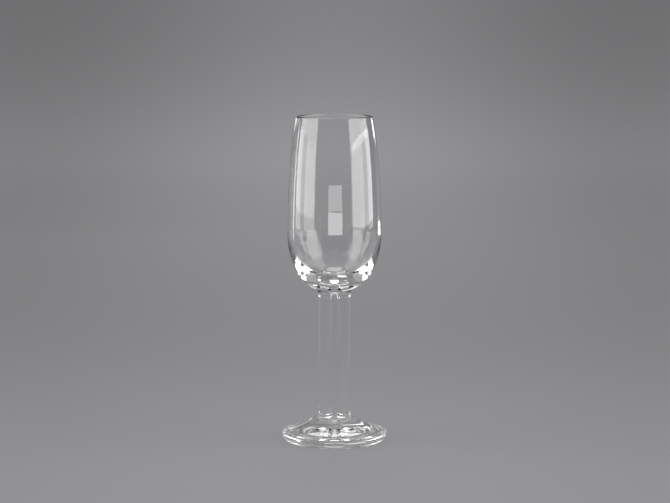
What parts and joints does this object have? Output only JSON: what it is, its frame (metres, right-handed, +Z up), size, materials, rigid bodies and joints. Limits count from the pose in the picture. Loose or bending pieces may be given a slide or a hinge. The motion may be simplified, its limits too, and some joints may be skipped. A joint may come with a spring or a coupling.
{
  "type": "sherry glass",
  "caption": "Tall tulip-shaped sherry glass: a thick-based bowl on a stem of slim parallel glass rods, welded to a thick conical foot.",
  "frame": {"origin": "centre of the ground ring under the foot, in the plane of the table", "axes": "+Z up along the bowl's axis, -Y the front as pictured, +X to the viewer's right"},
  "size_m": [0.0564, 0.0564, 0.175],
  "materials": {
    "bowl_glass": "clear, fire-polished",
    "rod_glass": "clear, drawn",
    "foot_glass": "clear, pressed and fire-polished"
  },
  "bodies": {
    "root": {"bowl": "bowl_glass", "stem_rod_front_left": "rod_glass", "stem_rod_front_right": "rod_glass", "stem_rod_back_left": "rod_glass", "stem_rod_back_right": "rod_glass", "foot": "foot_glass"}
  },
  "joints": []
}
